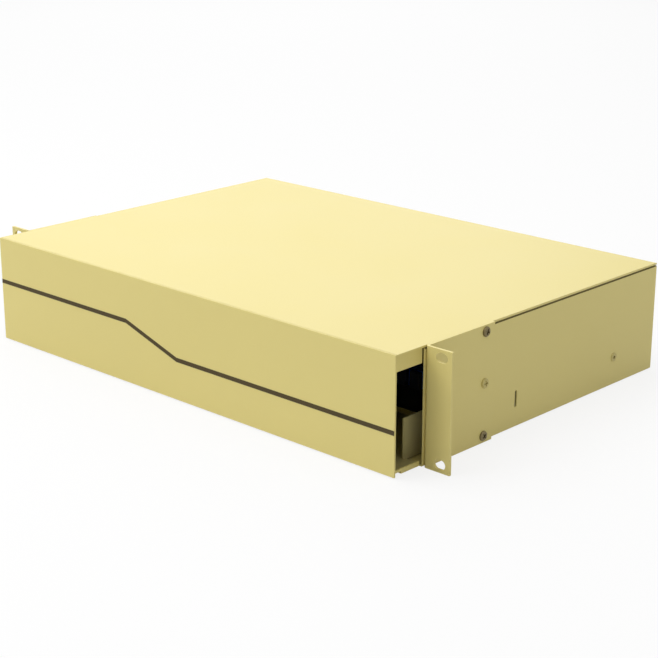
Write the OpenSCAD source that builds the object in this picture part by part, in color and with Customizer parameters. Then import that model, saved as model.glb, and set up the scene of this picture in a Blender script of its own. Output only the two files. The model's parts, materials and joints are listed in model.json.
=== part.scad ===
// Rack-mounted fibre distribution frame, two units high, with a sliding drawer.
// X runs across the rack, Y from the front to the rear and Z upwards.
// The origin is the middle of the underside, in the plane where the ears meet the rack rails.

/* [Overall size] */
// Width over the side faces of the body
body_w = 436; // [434:1:438]
// Height of the body, two rack units
body_h = 88; // [87:0.5:89]
// Depth of the body behind the rack rails
body_d = 279; // [276:1:300]
// Depth of the front compartment before the rack rails
front_d = 31.8; // [31:0.1:33]

/* [Sheet metal] */
// Thickness of the pan, the rear panel, the drawer and its brackets
sheet = 1.2; // [1:0.1:1.2]
// Thickness of the cover and the door
cover_t = 1.5; // [1.2:0.1:1.6]
// Height of the groove under the edge of the cover
seam = 0.8; // [0.5:0.1:0.8]
// Clearance between the drawer and the pan
slack = 0.8; // [0.6:0.1:1]

/* [Rack ears] */
// Width across both ears
rack_w = 482.6; // [482.6]
// Distance between the left and right rack holes
rack_pitch_x = 465.1; // [465.1]
// Distance between the lower and upper rack holes
rack_pitch_z = 76.2; // [76.2]
// Thickness of an ear
ear_t = 2; // [1.5:0.1:2.5]
// Length of an ear along the side of the body
ear_leg = 71; // [69:1:80]
// Inner bend radius of an ear
ear_bend = 1; // [0.5:0.1:2]
// Length of a rack slot
slot_l = 10; // [9:0.5:11]
// Width of a rack slot
slot_w = 7; // [6.5:0.1:7.5]
// Heights of the three screws through an ear
ear_screw_z = [5.4, 45, 83]; // [5:0.1:83]
// Distance from the rear edge of an ear to its screws
ear_screw_edge = 10; // [8:0.5:11]

/* [Slides] */
// Height of the centre line of the slides
rail_z = 23; // [22.8:0.1:23.2]
// Height of the outer slide channel
rail_h = 27; // [26:0.5:27]
// Space between the pan's wall and the drawer for one slide
rail_space = 12.7; // [12.7]
// Length of the outer channel
rail_l = 246; // [240:1:246]
// Length of the inner channel
runner_l = 244; // [238:1:246]
// Travel of the drawer
travel = 200; // [150:5:200]
// Diameter of a slide ball
ball_d = 3; // [2.8:0.1:3.1]
// Number of balls in one row of a slide
ball_count = 7; // [5:1:7]

/* [Drawer] */
// Height of the drawer's side walls
tray_h = 31.3; // [30:0.1:36]
// Rear end of the drawer
tray_end = 235; // [232:1:238]
// Height of the cord window at each side of the front compartment
window_h = 70.4; // [69.5:0.1:71]
// Height of the sill under the cord window
window_sill = 4.4; // [4:0.1:5]
// Depth of the header's flange under the cover
header_flange = 12; // [8:0.5:14]
// Width of a cord ring along the drawer's front
ring_w = 8; // [6:0.5:12]
// Outer radius of a cord ring
ring_r = 17; // [15:0.5:18]

/* [Door] */
// Height of the stripe on the left part of the door
stripe_z_left = 51; // [40:1:60]
// Height of the stripe on the right part of the door
stripe_z_right = 33; // [25:1:39]
// Width of the stripe
stripe_w = 3.4; // [2:0.1:5]
// Position where the slanted part of the stripe starts
stripe_x_left = -58; // [-100:1:-40]
// Position where the slanted part of the stripe ends
stripe_x_right = 0; // [-20:1:40]
// Length of a door hinge
hinge_l = 50; // [40:1:60]
// Distance from the middle of the door to the middle of a hinge
hinge_x = 150; // [130:1:170]
// Distance from the middle of the door to a catch
catch_x = 100; // [60:1:160]

/* [Adapter panel] */
// Position of the front face of the adapter bracket
panel_y = 60; // [56:1:64]
// Distance between the middles of two plates
plate_pitch = 128; // [126:1:130]
// Width of an adapter plate
plate_w = 124; // [120:1:124]
// Height of an adapter plate
plate_h = 64; // [60:1:65]
// Height of the row of adapters
port_z = 40; // [36:1:44]
// Adapters on one plate
port_count = 8; // [6:1:8]
// Distance between two adapters
port_pitch = 12.5; // [11:0.5:12.5]

/* [Splice trays] */
// Width of a splice tray
splice_w = 168; // [150:1:180]
// Depth of a splice tray
splice_d = 110; // [100:1:112]
// Height of a splice tray
splice_h = 10; // [9:0.5:10]
// Front edge of the splice trays
splice_y = 104; // [100:1:106]
// Distance from the middle of the drawer to a fibre reel
reel_x = 146; // [142:1:150]
// Radius of the drum of a fibre reel
reel_r = 30; // [28:1:31]
// Radius of the flange of a fibre reel
reel_flange_r = 42; // [40:1:44]
// Height of a fibre reel
reel_h = 24; // [20:1:28]

/* [Cable entry] */
// Height of the cable entries
entry_z = 30; // [28:1:34]
// Distance from the middle of the rear to a gland
gland_x = 150; // [145:1:155]
// Distance from the middle of the rear to a blanking plug
plug_x = 105; // [95:1:108]
// Diameter of a cable entry hole
entry_d = 20.4; // [20.2:0.1:21]
// Size of the gland's hexagon across its flats
gland_af = 24; // [22:0.5:26]
// Diameter of the opening in the gland's seal
cable_d = 12; // [8:0.5:12]

/* [Hidden] */
$fn = 48;
eps = 0.01;
paint = [0.86, 0.80, 0.51];
zinc = [0.72, 0.73, 0.74];
bright = [0.85, 0.86, 0.88];
black = [0.07, 0.07, 0.08];
blue = [0.05, 0.25, 0.62];
milky = [0.85, 0.86, 0.84];
navy = [0.05, 0.06, 0.12];
brown = [0.24, 0.19, 0.08];

// The body
hw = body_w / 2;
wall_x = hw - sheet;
cover_z = body_h - cover_t;
wall_h = cover_z - seam;
pan_y = -ear_t;
fold_w = 12;
fold_y = ear_leg + 13;
fold_end = body_d - 17;
rear_y = body_d - cover_t - sheet;
lip_h = 12.5;
cover_screw_x = [60, 180];
cover_screw_z = cover_z - 6.5;
cover_nut_t = 2;

// The ears and their screws
ear_r = ear_bend + ear_t;
ear_screw_y = ear_leg - ear_screw_edge;
ear_nut_d = 6.6;
ear_nut_t = 3;
m4_clear = 4.5;
m4_shank = 3.9;
m4_tap = 4;
m3_clear = 3.4;
m3_shank = 2.9;
m3_tap = 3;

// The slides
tray_x = wall_x - rail_space;
rail_t = 1.2;
rail_y = 16;
rail_depth = 9.8;
rail_in = rail_h / 2 - rail_t;
ball_gap = 3.3;
runner_hh = rail_in - ball_gap;
runner_depth = 8.9;
ball_z = rail_in - ball_gap / 2;
ball_x = tray_x + 6.4;
ball_pitch = 18;
cage_t = 0.6;
cage_l = 120;
cage_y = rail_y + travel / 2 + 1;
ball_y = cage_y + 6;
cage_x = wall_x - 2.8;
cage_depth = 7;
slide_slot_y = 101;
slide_slot_z = 22;
slide_slot_w = 2.4;
slide_slot_h = 13;
rivet_y = [30, 225];
rivet_d = 4;
rivet_head_d = 7;
rivet_head_t = 0.8;
runner_screw_y = [24, 125, 222];

// The drawer
tray_z = sheet + slack;
floor_z = tray_z + sheet;
cheek_x = hw - 2;
cheek_in = cheek_x - sheet;
frame_front = -front_d + cover_t + 1.8;
frame_end = -3.5;
frame_z = slack;
header_z = window_sill + window_h;
wing_y = -front_d + 6.6;
toe_y = -front_d + 9.5;
toe_z = 2.6;
tray_front = -6.5;
arm_end = pan_y - 0.3;
tray_back_h = 28;
rivet_x = [60, 190];
rivet_row_y = -11;
frame_rivet_d = 3.2;
frame_rivet_head = 6;
ring_x = [40, 108];
ring_t = 2.5;
ring_y = -2;
ring_neck = 21;
ring_slit = 3;

// The door and its hinges
door_y = -front_d;
door_back = door_y + cover_t;
door_z = 0.8;
hinge_z = 4.7;
hinge_y = door_back + 3;
leaf_t = 0.9;
leaf_d = 15;
knuckle_r = 1.9;
pin_r = 1;
pin_bore_r = 1.05;
knuckle_gap = 0.3;
leaf_gap = 0.2;
knuckle_l = hinge_l * 0.3;
stripe_t = 0.15;
catch_w = 30;
catch_d = 7;
catch_z = header_z + 1;
catch_nose_w = 20;
catch_nose_z = [header_z + 2.5, header_z + 6];
catch_nose_out = 0.6;
catch_play = 0.2;
strike_t = 0.8;
strike_h = 7.5;
strike_z = header_z + 0.5;
cover_front = door_back + 0.2;

// The adapter panel
plate_t = 1.5;
plate_z = 8;
plate_y = panel_y - plate_t;
bracket_w = 400;
bracket_top = header_z - 1.7;
bracket_foot = 14;
frame_hole_w = 106;
frame_hole_z = [15, 65];
plate_screw_x = 57.5;
bracket_screw_x = [64, 192];
bracket_screw_y = panel_y + 8;
port_w = 9.3;
port_h = 12.9;
port_play = 0.15;
port_front = 13;
port_rear = 14.5;
port_flange_h = 22;
port_flange_t = 1.6;
socket_w = 6.8;
socket_h = 9.4;
socket_depth = 11.2;
sleeve_d = 3.9;
sleeve_bore = 2.5;
sleeve_play = 0.05;
sleeve_l = 9;
cap_l = 8;
cap_head = 4;
cap_gap = 0.2;
cap_edge = 0.3;

// The splice trays
splice_end = splice_y + splice_d;
splice_wall = 1.5;
splice_floor_z = 5;
splice_gap = 2;
upper_z = splice_floor_z + splice_h + splice_gap;
tilt_y = splice_end + 5;
tilt_z = upper_z + splice_h / 2;
tilt_r = 4;
tilt_pin_r = 2;
tilt_bore_r = 2.05;
lug_w = 6;
cradle_x = splice_w / 2 + 2;
cradle_end = tilt_y + 6;
cradle_post = 2;
cradle_foot = 5;
tray_notch_x = 30;
tray_notch_w = 16;
fibre_post_x = 48;
tray_foot = 8;
tray_foot_in = 4;
comb_w = 36;
comb_d = 26;
comb_h = 6;
comb_teeth = 6;
groove_r = 1.4;
fibre_r = 24;
lens_t = 1.5;
reel_y = 160;
reel_wall = 1.5;
reel_tab_w = 14;

// The cable entry
gland_wall = rear_y + sheet;
thread_d = 20;
thread_l = 12;
gland_collar = 6;
dome_l = 17;
dome_r = 11;
gland_bore_r = 6.6;
seal_r = 8.2;
seal_l = 12;
seal_seat = 2;
seal_play = 0.05;
gland_nose_l = 5;
dome_hex = 0.6;
dome_end_t = 3;
locknut_t = 5;
locknut_bore = thread_d + 0.1;
plug_head_d = 26;
plug_head_t = 3;
plug_shank = 3;
anchor_w = 34;
anchor_d = 14;
anchor_y = 262;
anchor_top = 23;
anchor_bar_z = 37;
anchor_bar_t = 3;
anchor_groove_r = 7;
anchor_groove_z = anchor_top + 5;
anchor_screw_x = 12;
anchor_screw_l = 30;
stud_x = 190;
stud_z = 20;
stud_d = 6;
stud_out = 18;
stud_in = 8;
stud_tip_d = 5;
stud_tip_l = 8;
nut_m6_af = 10;
nut_m6_t = 5;
washer_t = 1;

// A block between two opposite corners
module block(low, high) {
  translate(low) cube(high - low);
}

// The right-hand piece and its mirror image on the left
module both_sides() {
  children();
  mirror([1, 0, 0]) children();
}

// A round bar along X
module bar_x(r, x0, x1, y, z) {
  translate([x0, y, z]) rotate([0, 90, 0]) cylinder(r = r, h = x1 - x0);
}

// A round bar along Y
module bar_y(r, y0, y1, x, z) {
  translate([x, y0, z]) rotate([-90, 0, 0]) cylinder(r = r, h = y1 - y0);
}

// A hexagonal bar along Y
module hex_y(af, y0, y1, x, z) {
  translate([x, y0, z]) rotate([-90, 0, 0]) cylinder(r = af / 2 / cos(30), h = y1 - y0, $fn = 6);
}

// A screw with its head's underside at the origin and its shank down along Z
module screw(head_d, head_h, shank_d, length) {
  arm = head_d * 0.5;
  difference() {
    union() {
      cylinder(d = head_d, h = head_h);
      translate([0, 0, -length]) cylinder(d = shank_d, h = length + eps);
    }
    for (turn = [0, 90])
      rotate([0, 0, turn]) translate([-arm / 2, -0.4, head_h - 1]) cube([arm, 0.8, 2]);
  }
}

// A slot through a sheet that stands in the XZ plane
module slot_y(length, width, y0, y1, x, z) {
  block([x - length / 2 + width / 2, y0, z - width / 2], [x + length / 2 - width / 2, y1, z + width / 2]);
  for (side = [-1, 1])
    bar_y(width / 2, y0, y1, x + side * (length - width) / 2, z);
}

// An upright slot through a side wall
module slot_x(height, width, x0, x1, y, z) {
  block([x0, y - width / 2, z - height / 2 + width / 2], [x1, y + width / 2, z + height / 2 - width / 2]);
  for (side = [-1, 1])
    bar_x(width / 2, x0, x1, y, z + side * (height - width) / 2);
}

module base_pan() {
  color(paint) difference() {
    union() {
      block([-hw, pan_y, 0], [hw, body_d, sheet]);
      both_sides() {
        block([wall_x, pan_y, 0], [hw, body_d, wall_h]);
        block([hw - fold_w, fold_y, cover_z - sheet], [hw - seam, fold_end, cover_z]);
      }
    }
    both_sides() {
      for (z = ear_screw_z)
        bar_x(m4_clear / 2, wall_x - 1, hw + 1, ear_screw_y, z);
      for (y = rivet_y)
        bar_x(rivet_d / 2, wall_x - 1, hw + 1, y, rail_z);
      slot_x(slide_slot_h, slide_slot_w, wall_x - 1, hw + 1, slide_slot_y, slide_slot_z);
    }
  }
}

module rear_panel() {
  color(paint) difference() {
    union() {
      block([-wall_x, rear_y, sheet], [wall_x, rear_y + sheet, cover_z]);
      block([-(hw - fold_w), fold_end + 1, cover_z - sheet], [hw - fold_w, rear_y + eps, cover_z]);
      both_sides()
        block([wall_x - sheet, fold_end + 3, sheet], [wall_x, rear_y + eps, cover_z - fold_w]);
    }
    both_sides() {
      bar_y(entry_d / 2, rear_y - 1, body_d, gland_x, entry_z);
      bar_y(entry_d / 2, rear_y - 1, body_d, plug_x, entry_z);
      for (x = cover_screw_x)
        bar_y(m3_clear / 2, rear_y - 1, body_d, x, cover_screw_z);
    }
    bar_y(stud_d / 2, rear_y - 1, body_d, stud_x, stud_z);
  }
}

module top_cover() {
  color(paint) difference() {
    union() {
      block([-hw, cover_front, cover_z], [hw, body_d, body_h]);
      block([-wall_x + 0.4, body_d - cover_t, cover_z - lip_h], [wall_x - 0.4, body_d, cover_z + eps]);
    }
    both_sides()
      for (x = cover_screw_x)
        bar_y(m3_clear / 2, rear_y, body_d + 1, x, cover_screw_z);
  }
}

// The folded header under the front of the cover, with an arm over each cord window
module front_header() {
  color(paint) difference() {
    union() {
      block([-cheek_in, frame_front, header_z], [cheek_in, frame_front + sheet, cover_z]);
      block([-cheek_in, frame_front, cover_z - sheet], [cheek_in, frame_front + header_flange, cover_z]);
      both_sides()
        block([cheek_in - eps, frame_front, header_z], [cheek_x, arm_end, cover_z]);
    }
    both_sides()
      block([catch_x - catch_nose_w / 2 - catch_play, frame_front - 1, catch_nose_z[0] - catch_play],
            [catch_x + catch_nose_w / 2 + catch_play, frame_front + sheet + 1, catch_nose_z[1] + catch_play]);
  }
}

module cover_screws() {
  color(zinc) both_sides()
    for (x = cover_screw_x)
      translate([x, body_d, cover_screw_z]) rotate([-90, 0, 0]) screw(5.6, 1.8, m3_shank, 8);
}

module cover_nuts() {
  color(zinc) both_sides()
    for (x = cover_screw_x)
      difference() {
        bar_y(3, rear_y - cover_nut_t, rear_y, x, cover_screw_z);
        bar_y(m3_tap / 2, rear_y - cover_nut_t - 1, rear_y + 1, x, cover_screw_z);
      }
}

// The right ear: a leg along the body's side, a bend and a flange with the rack slots
module ear() {
  bend_x = hw + ear_r;
  bend_y = pan_y + ear_r;
  difference() {
    linear_extrude(body_h) {
      translate([hw, bend_y]) square([ear_t, ear_leg - bend_y]);
      translate([bend_x, pan_y]) square([rack_w / 2 - bend_x, ear_t]);
      intersection() {
        translate([bend_x, bend_y]) difference() {
          circle(r = ear_r);
          circle(r = ear_bend);
        }
        translate([hw, pan_y]) square([ear_r, ear_r]);
      }
    }
    for (side = [-1, 1])
      slot_y(slot_l, slot_w, pan_y - 1, 1, rack_pitch_x / 2, body_h / 2 + side * rack_pitch_z / 2);
    for (z = ear_screw_z)
      bar_x(m4_clear / 2, hw - 1, hw + ear_t + 1, ear_screw_y, z);
  }
}

module ear_right() {
  color(paint) ear();
}

module ear_left() {
  color(paint) mirror([1, 0, 0]) ear();
}

module ear_screws() {
  color(brown) both_sides()
    for (z = ear_screw_z)
      translate([hw + ear_t, ear_screw_y, z]) rotate([0, 90, 0]) screw(7.4, 1.6, m4_shank, 7);
}

module ear_nuts() {
  color(zinc) both_sides()
    for (z = ear_screw_z)
      difference() {
        bar_x(ear_nut_d / 2, wall_x - ear_nut_t, wall_x, ear_screw_y, z);
        bar_x(m4_tap / 2, wall_x - ear_nut_t - 1, wall_x + 1, ear_screw_y, z);
      }
}

// The channel that is riveted to the right wall of the pan
module slide_outer() {
  color(zinc) difference() {
    union() {
      block([wall_x - rail_t, rail_y, rail_z - rail_h / 2], [wall_x, rail_y + rail_l, rail_z + rail_h / 2]);
      for (side = [-1, 1])
        translate([0, 0, rail_z + side * (rail_h - rail_t) / 2])
          block([wall_x - rail_depth, rail_y, -rail_t / 2], [wall_x, rail_y + rail_l, rail_t / 2]);
    }
    for (y = rivet_y)
      bar_x(rivet_d / 2, wall_x - rail_t - 1, wall_x + 1, y, rail_z);
    slot_x(slide_slot_h + 1, slide_slot_w + 1, wall_x - rail_t - 1, wall_x + 1, slide_slot_y, slide_slot_z);
  }
}

module slide_outer_right() {
  slide_outer();
}

module slide_outer_left() {
  mirror([1, 0, 0]) slide_outer();
}

// Rivets with a head only where no ear lies over them
module slide_rivets() {
  color(paint) both_sides()
    for (y = rivet_y) {
      bar_x(rivet_d / 2, wall_x - rail_t, hw, y, rail_z);
      if (y > ear_leg)
        bar_x(rivet_head_d / 2, hw, hw + rivet_head_t, y, rail_z);
    }
}

// The channel that the drawer carries on its right wall
module slide_inner() {
  color(bright) difference() {
    union() {
      block([tray_x, rail_y, rail_z - runner_hh], [tray_x + rail_t, rail_y + runner_l, rail_z + runner_hh]);
      for (side = [-1, 1])
        translate([0, 0, rail_z + side * (runner_hh - rail_t / 2)])
          block([tray_x, rail_y, -rail_t / 2], [tray_x + runner_depth, rail_y + runner_l, rail_t / 2]);
    }
    for (y = runner_screw_y)
      bar_x(m4_tap / 2, tray_x - 1, tray_x + rail_t + 1, y, rail_z);
  }
}

module slide_inner_right() {
  slide_inner();
}

module slide_inner_left() {
  mirror([1, 0, 0]) slide_inner();
}

module runner_screws() {
  color(zinc) both_sides()
    for (y = runner_screw_y)
      translate([tray_x - sheet, y, rail_z]) rotate([0, -90, 0]) screw(7, 2, m4_shank, 4);
}

// The strip that keeps the balls of the right slide apart
module ball_cage() {
  color(zinc) difference() {
    union() {
      block([cage_x, cage_y, rail_z - ball_z - cage_t / 2],
            [cage_x + cage_t, cage_y + cage_l, rail_z + ball_z + cage_t / 2]);
      for (side = [-1, 1])
        translate([0, 0, rail_z + side * ball_z])
          block([cage_x + cage_t - cage_depth, cage_y, -cage_t / 2],
                [cage_x + cage_t, cage_y + cage_l, cage_t / 2]);
    }
    for (i = [0 : ball_count - 1])
      translate([ball_x, ball_y + i * ball_pitch, rail_z - rail_h / 2]) cylinder(d = ball_d + 0.3, h = rail_h);
  }
}

module ball_cage_right() {
  ball_cage();
}

module ball_cage_left() {
  mirror([1, 0, 0]) ball_cage();
}

module slide_balls() {
  color(bright)
    for (side = [-1, 1], i = [0 : ball_count - 1])
      translate([ball_x, ball_y + i * ball_pitch, rail_z + side * ball_z]) sphere(d = ball_d);
}

module slide_balls_right() {
  slide_balls();
}

module slide_balls_left() {
  mirror([1, 0, 0]) slide_balls();
}

module drawer_tray() {
  color(paint) difference() {
    union() {
      block([-tray_x, frame_end - eps, tray_z], [tray_x, tray_end, floor_z]);
      block([-cheek_in, wing_y, tray_z], [cheek_in, frame_end, floor_z]);
      both_sides()
        block([tray_x - sheet, tray_front, tray_z], [tray_x, tray_end, tray_z + tray_h]);
      block([-tray_x, tray_end - sheet, tray_z], [tray_x, tray_end, tray_z + tray_back_h]);
    }
    both_sides() {
      for (y = runner_screw_y)
        bar_x(m4_clear / 2, tray_x - sheet - 1, tray_x + 1, y, rail_z);
      for (x = rivet_x)
        translate([x, rivet_row_y, 0]) cylinder(d = frame_rivet_d, h = 10);
      for (x = bracket_screw_x)
        translate([x, bracket_screw_y, 0]) cylinder(d = m3_tap, h = 10);
    }
  }
}

// The sills at the drawer's front, joined by a toe strip under its floor
module front_frame() {
  color(paint) difference() {
    union() {
      block([-cheek_x, toe_y, frame_z], [cheek_x, frame_end, tray_z]);
      both_sides() {
        block([cheek_in, toe_y, frame_z], [cheek_x, frame_end, window_sill]);
        block([cheek_in, frame_front, toe_z], [cheek_x, frame_end, window_sill]);
      }
    }
    both_sides()
      for (x = rivet_x)
        translate([x, rivet_row_y, 0]) cylinder(d = frame_rivet_d, h = 10);
  }
}

module frame_rivets() {
  color(zinc) both_sides()
    for (x = rivet_x)
      translate([x, rivet_row_y, 0]) {
        translate([0, 0, frame_z]) cylinder(d = frame_rivet_d, h = floor_z - frame_z);
        translate([0, 0, floor_z]) cylinder(d = frame_rivet_head, h = 1);
      }
}

// The outline of a cord ring, an arch on a straight neck
module ring_outline(r, neck) {
  translate([0, neck]) circle(r = r);
  translate([-r, 0]) square([2 * r, neck]);
}

module cord_rings() {
  color(black) both_sides()
    for (x = ring_x)
      translate([x - ring_w / 2, ring_y, floor_z]) rotate([90, 0, 90]) linear_extrude(ring_w) difference() {
        ring_outline(ring_r, ring_neck);
        translate([0, ring_t]) ring_outline(ring_r - ring_t, ring_neck - ring_t);
        translate([-ring_slit / 2, ring_neck]) square([ring_slit, ring_r + 1]);
      }
}

// The three knuckle spans of one hinge, measured from its left end
function knuckle_spans() = [[0, knuckle_l], [hinge_l - knuckle_l, hinge_l]];

module hinge_frame_leaves() {
  color(zinc) both_sides()
    translate([hinge_x - hinge_l / 2, 0, 0]) {
      block([0, hinge_y + knuckle_r + leaf_gap, floor_z], [hinge_l, hinge_y + leaf_d, floor_z + leaf_t]);
      for (span = knuckle_spans())
        difference() {
          union() {
            bar_x(knuckle_r, span[0], span[1], hinge_y, hinge_z);
            block([span[0], hinge_y, floor_z],
                  [span[1], hinge_y + knuckle_r + leaf_gap + eps, floor_z + leaf_t]);
          }
          bar_x(pin_bore_r, span[0] - 1, span[1] + 1, hinge_y, hinge_z);
        }
    }
}

module hinge_door_leaves() {
  knuckle_a = knuckle_l + knuckle_gap;
  knuckle_b = hinge_l - knuckle_l - knuckle_gap;
  color(zinc) both_sides()
    translate([hinge_x - hinge_l / 2, 0, 0]) {
      block([0, door_back, hinge_z + knuckle_gap], [hinge_l, door_back + leaf_t, hinge_z + leaf_d]);
      difference() {
        union() {
          bar_x(knuckle_r, knuckle_a, knuckle_b, hinge_y, hinge_z);
          block([knuckle_a, door_back, hinge_z], [knuckle_b, hinge_y, hinge_z + knuckle_r]);
        }
        bar_x(pin_bore_r, knuckle_a - 1, knuckle_b + 1, hinge_y, hinge_z);
      }
    }
}

module hinge_pins() {
  color(bright) both_sides()
    bar_x(pin_r, hinge_x - hinge_l / 2, hinge_x + hinge_l / 2, hinge_y, hinge_z);
}

module front_door() {
  color(paint) block([-hw, door_y, door_z], [hw, door_back, body_h]);
}

// The painted stripe, level on the left, slanted in the middle and level again on the right
module door_stripe() {
  end_x = hw - 0.3;
  color(brown) translate([0, door_y, 0]) rotate([90, 0, 0]) linear_extrude(stripe_t)
    polygon([[-end_x, stripe_z_left - stripe_w / 2], [stripe_x_left, stripe_z_left - stripe_w / 2],
             [stripe_x_right, stripe_z_right - stripe_w / 2], [end_x, stripe_z_right - stripe_w / 2],
             [end_x, stripe_z_right + stripe_w / 2], [stripe_x_right, stripe_z_right + stripe_w / 2],
             [stripe_x_left, stripe_z_left + stripe_w / 2], [-end_x, stripe_z_left + stripe_w / 2]]);
}

// Snap catches behind the header, with a nose through it towards the door
module door_catches() {
  color(black) both_sides() {
    block([catch_x - catch_w / 2, frame_front + sheet, catch_z],
          [catch_x + catch_w / 2, frame_front + sheet + catch_d, cover_z - sheet]);
    block([catch_x - catch_nose_w / 2, frame_front - catch_nose_out, catch_nose_z[0]],
          [catch_x + catch_nose_w / 2, frame_front + sheet + eps, catch_nose_z[1]]);
  }
}

module catch_strikes() {
  color(zinc) both_sides()
    block([catch_x - catch_w / 2, door_back, strike_z],
          [catch_x + catch_w / 2, door_back + strike_t, strike_z + strike_h]);
}

module adapter_bracket() {
  color(paint) difference() {
    union() {
      block([-bracket_w / 2, panel_y, floor_z], [bracket_w / 2, panel_y + sheet, bracket_top]);
      block([-bracket_w / 2, panel_y, floor_z], [bracket_w / 2, panel_y + bracket_foot, floor_z + sheet]);
      block([-bracket_w / 2, panel_y, bracket_top - sheet],
            [bracket_w / 2, panel_y + bracket_foot, bracket_top]);
    }
    for (i = [-1 : 1]) {
      translate([i * plate_pitch, 0, 0])
        block([-frame_hole_w / 2, panel_y - 1, frame_hole_z[0]],
              [frame_hole_w / 2, panel_y + sheet + 1, frame_hole_z[1]]);
      for (side = [-1, 1])
        bar_y(m3_tap / 2, panel_y - 1, panel_y + 3, i * plate_pitch + side * plate_screw_x, port_z);
    }
    both_sides()
      for (x = bracket_screw_x)
        translate([x, bracket_screw_y, 0]) cylinder(d = m3_clear, h = 10);
  }
}

module bracket_screws() {
  color(zinc) both_sides()
    for (x = bracket_screw_x)
      translate([x, bracket_screw_y, floor_z + sheet]) screw(5.6, 1.8, m3_shank, 2 * sheet);
}

// One adapter plate, numbered from the middle one
module adapter_plate(index) {
  color(black) difference() {
    translate([index * plate_pitch, 0, 0])
      block([-plate_w / 2, plate_y, plate_z], [plate_w / 2, panel_y, plate_z + plate_h]);
    for (i = [0 : port_count - 1])
      translate([port_x(index, i), 0, port_z])
        block([-port_w / 2 - port_play, plate_y - 1, -port_h / 2 - port_play],
              [port_w / 2 + port_play, panel_y + 1, port_h / 2 + port_play]);
    for (side = [-1, 1])
      bar_y(m3_clear / 2, plate_y - 1, panel_y + 1, index * plate_pitch + side * plate_screw_x, port_z);
  }
}

function port_x(index, i) = index * plate_pitch + (i - (port_count - 1) / 2) * port_pitch;

module adapter_plate_left() {
  adapter_plate(-1);
}

module adapter_plate_centre() {
  adapter_plate(0);
}

module adapter_plate_right() {
  adapter_plate(1);
}

module plate_screws() {
  color(zinc)
    for (i = [-1 : 1], side = [-1, 1])
      translate([i * plate_pitch + side * plate_screw_x, plate_y, port_z]) rotate([90, 0, 0])
        screw(6, 1.8, m3_shank, 6);
}

// The adapters of one plate: a body through the plate, a flange before it and a socket at each end
module adapters(index) {
  color(blue)
    for (i = [0 : port_count - 1])
      translate([port_x(index, i), plate_y, port_z]) difference() {
        union() {
          block([-port_w / 2, -port_front, -port_h / 2], [port_w / 2, port_rear, port_h / 2]);
          block([-port_w / 2, -port_flange_t, -port_flange_h / 2], [port_w / 2, 0, port_flange_h / 2]);
        }
        for (y = [-port_front - 1, port_rear - socket_depth])
          block([-socket_w / 2, y, -socket_h / 2], [socket_w / 2, y + socket_depth + 1, socket_h / 2]);
        bar_y(sleeve_d / 2 + sleeve_play, -port_front, port_rear, 0, 0);
      }
}

module adapters_left() {
  adapters(-1);
}

module adapters_centre() {
  adapters(0);
}

module adapters_right() {
  adapters(1);
}

module alignment_sleeves() {
  sleeve_y = plate_y + (port_rear - port_front - sleeve_l) / 2;
  color(milky)
    for (index = [-1 : 1], i = [0 : port_count - 1])
      translate([port_x(index, i), 0, port_z]) difference() {
        bar_y(sleeve_d / 2, sleeve_y, sleeve_y + sleeve_l, 0, 0);
        bar_y(sleeve_bore / 2, sleeve_y - 1, sleeve_y + sleeve_l + 1, 0, 0);
      }
}

// A dust cap with its head towards the user and its plug in the socket
module dust_cap() {
  block([-port_w / 2 + cap_edge, -cap_head, -port_h / 2 + cap_edge],
        [port_w / 2 - cap_edge, 0, port_h / 2 - cap_edge]);
  block([-socket_w / 2 + cap_gap, -eps, -socket_h / 2 + cap_gap],
        [socket_w / 2 - cap_gap, cap_l, socket_h / 2 - cap_gap]);
}

module front_dust_caps() {
  color(navy)
    for (index = [-1 : 1], i = [0 : port_count - 1])
      translate([port_x(index, i), plate_y - port_front, port_z]) dust_cap();
}

module rear_dust_caps() {
  color(navy)
    for (index = [-1 : 1], i = [0 : port_count - 1])
      translate([port_x(index, i), plate_y + port_rear, port_z]) mirror([0, 1, 0]) dust_cap();
}

// The base of the splice trays, with two posts that hold the tilt pins
module tray_cradle() {
  color(zinc) {
    block([-cradle_x, splice_y, floor_z], [cradle_x, cradle_end, floor_z + sheet]);
    both_sides() {
      block([cradle_x, tilt_y - tilt_r, floor_z], [cradle_x + cradle_post, tilt_y + tilt_r, tilt_z]);
      bar_x(tilt_r, cradle_x, cradle_x + cradle_post, tilt_y, tilt_z);
      bar_x(tilt_pin_r, cradle_x - lug_w, cradle_x + 1, tilt_y, tilt_z);
      block([cradle_x - cradle_foot, tilt_y - tilt_r, floor_z],
            [cradle_x + cradle_post, cradle_end, floor_z + sheet]);
    }
  }
}

// An open tray with its floor at the given height and two round posts that the fibres go round
module splice_shell(z) {
  difference() {
    block([-splice_w / 2, splice_y, z], [splice_w / 2, splice_end, z + splice_h]);
    block([-splice_w / 2 + splice_wall, splice_y + splice_wall, z + splice_wall],
          [splice_w / 2 - splice_wall, splice_end - splice_wall, z + splice_h + 1]);
    for (side = [-1, 1])
      translate([side * tray_notch_x, 0, 0])
        block([-tray_notch_w / 2, splice_y - 1, z + splice_wall],
              [tray_notch_w / 2, splice_y + splice_wall + 1, z + splice_h + 1]);
  }
  for (side = [-1, 1])
    translate([side * fibre_post_x, splice_y + splice_d / 2, z]) difference() {
      cylinder(r = fibre_r, h = splice_h - 2);
      translate([0, 0, splice_wall]) cylinder(r = fibre_r - splice_wall, h = splice_h);
    }
}

module splice_tray_lower() {
  foot_x = splice_w / 2 - tray_foot_in;
  color(milky) {
    splice_shell(splice_floor_z);
    both_sides()
      for (y = [splice_y + tray_foot_in, splice_end - tray_foot_in - tray_foot])
        block([foot_x - tray_foot, y, floor_z + sheet], [foot_x, y + tray_foot, splice_floor_z + eps]);
  }
}

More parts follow.
